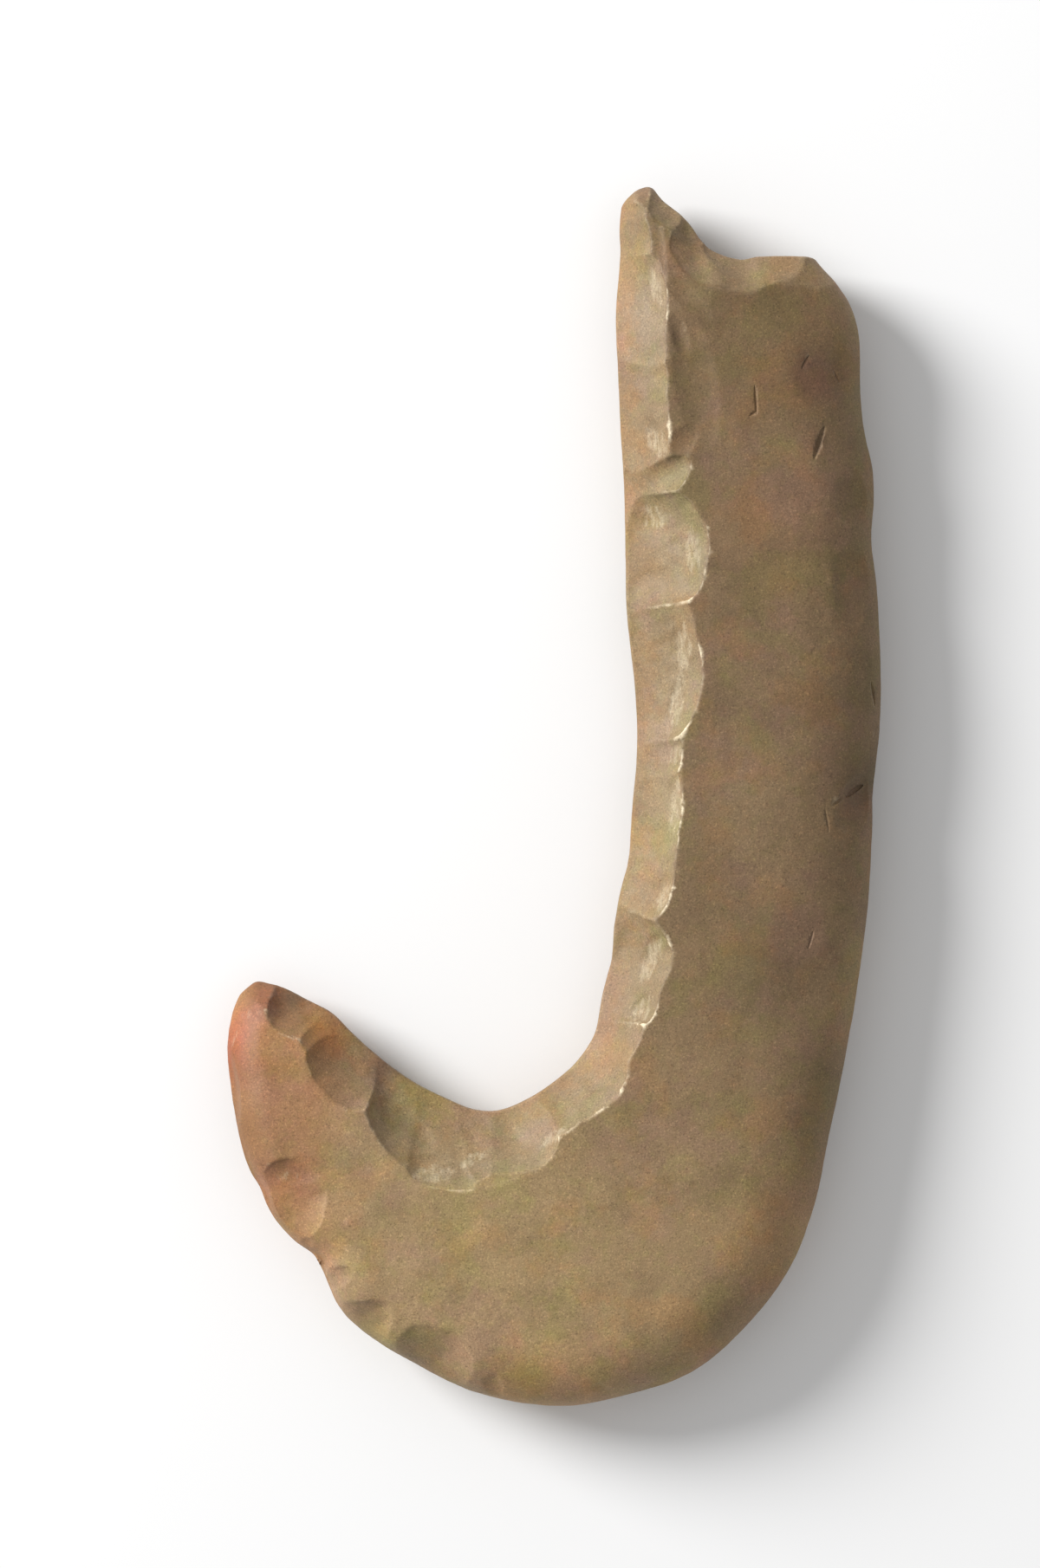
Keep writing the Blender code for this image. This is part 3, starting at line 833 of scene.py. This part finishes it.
# Clouds that drift over the stone, as factors on its colour: size in mm, shift, where the noise
# starts and ends to show, how strongly, and the factors
CLOUDS = (
    (5.5, 31, 0.47, 0.62, 0.75, (1.04, 0.96, 1.15)),
    (4.8, -12, 0.47, 0.62, 0.75, (0.91, 1.03, 0.81)),
    (4.5, 5, 0.49, 0.64, 0.75, (1.14, 1.01, 0.89)),
    (5.0, 17, 0.48, 0.64, 0.8, (0.84, 0.83, 0.84)),
    (3.0, -27, 0.50, 0.66, 0.7, (1.12, 1.13, 1.13)),
    (1.3, 41, 0.50, 0.66, 0.6, (0.96, 1.04, 0.90)),
    (0.9, 53, 0.50, 0.66, 0.6, (1.07, 1.00, 0.98)),
)
# Patches of colour, a few of them painted shade: x, y, inner and outer radius in pixels, how strongly,
# and the factors
PATCHES = (
    (258, 1195, 6, 60, 0.9, (1.18, 0.86, 0.90)),
    (264, 1310, 6, 76, 0.8, (0.66, 0.57, 0.40)),
    (300, 1142, 6, 44, 0.8, (0.84, 0.58, 0.54)),
    (336, 1152, 4, 24, 0.8, (0.60, 0.62, 0.70)),
    (374, 1196, 6, 40, 0.7, (1.32, 0.96, 0.64)),
    (420, 1276, 6, 42, 0.8, (0.98, 0.90, 1.10)),
    (444, 1236, 2, 26, 0.8, (0.62, 0.64, 0.76)),
    (490, 1264, 8, 46, 0.8, (0.90, 1.02, 0.76)),
    (482, 1566, 8, 44, 0.7, (0.74, 0.76, 0.86)),
    (420, 1512, 6, 34, 0.6, (0.80, 0.74, 0.76)),
    (944, 434, 12, 44, 0.8, (0.84, 0.76, 0.98)),
    # Painted shade: the next three patches darken two cracks and the notch by the outer edge
    (930, 416, 2, 12, 0.7, (0.70, 0.62, 0.52)),
    (945, 512, 2, 16, 0.6, (0.62, 0.58, 0.54)),
    (1000, 906, 8, 46, 0.7, (0.70, 0.66, 0.66)),
    (346, 1416, 16, 84, 0.7, (1.14, 0.90, 0.82)),
    (250, 1226, 10, 64, 0.9, (0.78, 0.58, 0.54)),
    (880, 400, 40, 150, 0.8, (0.84, 0.80, 0.74)),
    (830, 905, 20, 110, 0.7, (1.16, 1.22, 1.24)),
    (908, 1106, 20, 90, 0.8, (0.69, 0.67, 0.66)),
    (974, 348, 12, 80, 0.8, (1.40, 1.36, 1.38)),
    (985, 1130, 20, 120, 0.8, (1.40, 1.44, 1.44)),
    (930, 1430, 20, 130, 0.8, (1.44, 1.36, 1.26)),
    (880, 620, 30, 110, 0.6, (1.10, 1.02, 0.98)),
    (752, 258, 6, 44, 0.8, (0.80, 0.79, 0.76)),
    (815, 1110, 10, 60, 0.7, (1.26, 1.26, 1.22)),
    (650, 1600, 20, 90, 0.6, (1.26, 1.12, 1.10)),
    (740, 225, 4, 26, 0.5, (0.90, 0.96, 0.74)),
    (716, 384, 10, 100, 0.8, (0.97, 0.98, 1.16)),
    (600, 1290, 20, 110, 0.6, (0.88, 0.88, 0.86)),
    (834, 655, 10, 70, 0.6, (0.86, 0.88, 0.90)),
    # Painted shade over the notch by the outer edge
    (992, 900, 20, 90, 0.6, (0.80, 0.83, 0.74)),
    (618, 1600, 8, 46, 0.6, (0.94, 1.04, 0.72)),
)


def old_skin(make, wander):
    """Brown on the shank, paler on the bend with a painted pool of light, orange at the point, a
    little darker in the outer scars.
    """
    # Painted light: the bend is paler, partly in its own colour
    colour = make.tint(make.near(*BEND_SPREAD), SHANK, BEND_STONE_AND_LIGHT)
    reach = make.plus(make.near(*POINT_SPREAD), make.times(wander, 0.5))
    colour = make.tint(make.band(reach, 0.45, 1.0), colour, POINT)
    colour = make.tint(make.attribute("broken"), colour, BREAK)
    return make.stain(make.band(make.attribute("outer_scarred"), 0, 1, 0.7), colour, (0.90, 0.87, 0.86))


def fresh_and_lit_scars(make, colour, wander):
    """The stone in the inner scars: lighter, as fresher stone and as painted light on the bevel, pale
    by their rims, rusty further in, each darkened by a painted shade of its own.
    """
    fresh = make.times(make.attribute("scar"), make.band(wander, 0.1, 0.6, 0.95))
    off_the_point = make.combine("SUBTRACT", 1.0, make.near(*POINT_SCARS))
    # Painted light and fresher stone: the inner scars are tinted lighter
    colour = make.tint(make.times(fresh, off_the_point), colour, FRESH_STONE_AND_LIGHT)
    verge = make.plus(make.attribute("verge"), make.lumps(0.3, 0.7, 0.6, 1.6 * MM, 4, 0.65, 22))
    pale = make.times(make.band(verge, 0.62, 0.98, 0.7), fresh)
    colour = make.stain(pale, colour, (0.97, 1.04, 1.14))
    rusty = make.times(make.band(verge, 0.72, 0.36, 0.75), fresh)
    colour = make.stain(rusty, colour, (1.06, 0.94, 0.82))
    # Painted shade, darker on some scars than on others
    painted_scar_shade = make.times(make.attribute("painted_scar_shade"), fresh)
    return make.stain(make.band(painted_scar_shade, 0.2, 0.9, 0.6), colour, (0.86, 0.84, 0.80))


def clouds_and_patches(make, colour):
    for size, shift, low, high, strength, factors in CLOUDS:
        cloudy = make.lumps(low, high, strength, size * MM, 5, 0.62, shift)
        colour = make.stain(cloudy, colour, factors)
    for x, y, inner, outer, strength, factors in PATCHES:
        colour = make.stain(make.near(x, y, inner, outer, strength), colour, factors)
    return colour


def edges_and_bruises(make, colour):
    """Painted highlights on broken arrises, chalky streaks with painted sheen on bruises, and painted
    shade in hollows.
    """
    broken_up = make.lumps(0.38, 0.60, 1.0, 1.1 * MM, 3, 0.6, 8)
    edge = make.band(make.attribute("arris"), 0.22, 0.80)
    painted_shine = make.plus(make.times(make.attribute("painted_glint"), 0.9), 0.12)
    # Painted highlight along the arrises, brightest at the glints
    colour = make.tint(make.times(make.times(edge, broken_up), painted_shine), colour, PAINTED_ARRIS_HIGHLIGHT)
    where_cut = make.plus(0.4, make.times(make.attribute("scar"), 0.6))
    bruised = make.times(make.attribute("bruise_and_sheen"), where_cut)
    streaks = make.plus(make.noise(0.42 * MM, 4, 0.68, stretch=3.2), make.times(bruised, 0.26))
    chalk_and_sheen_share = make.times(make.band(streaks, 0.56, 0.92, 0.38), make.band(bruised, 0.02, 0.5))
    # Chalky streaks and painted sheen on the bruised spots
    colour = make.tint(chalk_and_sheen_share, colour, CHALK_AND_SHEEN)
    # Painted shade darkens the hollows
    return make.tint(make.band(make.attribute("hollow"), 0.3, 1.0, 0.25), colour, PAINTED_HOLLOW_SHADE)


def specks(make, colour, speckle):
    """Dark and light specks of two sizes, a few pale chips and small dark pits."""
    colour = make.stain(make.band(speckle, 0.54, 0.74, 0.8), colour, (0.48, 0.45, 0.42))
    colour = make.stain(make.band(speckle, 0.46, 0.26, 0.7), colour, (1.75, 1.75, 1.75))
    grain = make.noise(0.32 * MM, 3, 0.75, 9)
    colour = make.stain(make.band(grain, 0.53, 0.72, 0.5), colour, (0.68, 0.66, 0.62))
    colour = make.stain(make.band(grain, 0.47, 0.28, 0.5), colour, (1.32, 1.32, 1.34))
    chips = make.lumps(0.70, 0.76, 0.4, 0.7 * MM, 2, 0.6, 33, 0.8)
    colour = make.stain(chips, colour, (1.5, 1.5, 1.45))
    pits = make.lumps(0.76, 0.82, 0.8, 0.26 * MM, 1, 0.5, 14)
    return make.stain(pits, colour, (0.5, 0.46, 0.42))


def flint():
    """Old flint: brown, clouded with olive, mauve and ochre, orange at the point, and speckled."""
    make = Nodes("flint")
    wander = make.noise(6 * MM, 4, 0.6, 3)
    speckle = make.noise(0.14 * MM, 2, 0.7)
    colour = old_skin(make, wander)
    colour = fresh_and_lit_scars(make, colour, wander)
    colour = clouds_and_patches(make, colour)
    colour = edges_and_bruises(make, colour)
    colour = specks(make, colour, speckle)
    make.feed(make.shader.inputs["Base Color"], colour)
    make.shader.inputs["Roughness"].default_value = 0.6
    make.shader.inputs["Specular IOR Level"].default_value = 0.4
    relief = make.bump(make.noise(0.8 * MM, 4, 0.62), 0.5, 0.10 * MM)
    relief = make.bump(speckle, 0.35, 0.03 * MM, relief)
    make.feed(make.shader.inputs["Normal"], relief)
    return make.material


def plain_floor():
    bpy.ops.object.select_all(action="DESELECT")
    bpy.ops.mesh.primitive_plane_add(size=FLOOR_SIZE)
    floor = bpy.context.object
    floor.name = "floor"
    make = Nodes("floor")
    make.shader.inputs["Base Color"].default_value = (0.9, 0.9, 0.9, 1)
    make.shader.inputs["Roughness"].default_value = 0.95
    make.shader.inputs["Specular IOR Level"].default_value = 0.1
    floor.data.materials.append(make.material)


def studio():
    """A low, broad key from the left and a white sky."""
    data = bpy.data.lights.new("key", "AREA")
    data.shape = "DISK"
    data.size = KEY_SIZE
    data.energy = KEY_POWER
    key = bpy.data.objects.new("key", data)
    key.location = KEY_PLACE
    key.rotation_euler = (-key.location).to_track_quat("-Z", "Y").to_euler()
    bpy.context.scene.collection.objects.link(key)
    world = bpy.data.worlds.new("sky")
    bpy.context.scene.world = world
    world.use_nodes = True
    background = world.node_tree.nodes["Background"]
    background.inputs["Color"].default_value = (1, 1, 1, 1)
    background.inputs["Strength"].default_value = SKY_STRENGTH
    bpy.context.scene.view_settings.view_transform = "Standard"


def camera():
    """Straight above the hook, as far off as a long lens stands."""
    data = bpy.data.cameras.new("camera")
    data.lens = LENS_MM
    data.sensor_width = SENSOR_MM
    eye = bpy.data.objects.new("camera", data)
    distance = PHOTO_HEIGHT * PIXEL * data.lens / data.sensor_width
    eye.location = spot(PHOTO_WIDTH / 2, PHOTO_HEIGHT / 2, FACE_HEIGHT + distance)
    bpy.context.scene.collection.objects.link(eye)
    bpy.context.scene.camera = eye


camera()
studio()
plain_floor()
hook = make_hook()
hook.data.materials.clear()
hook.data.materials.append(flint())
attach(hook, "root")
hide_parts("fish_hook")
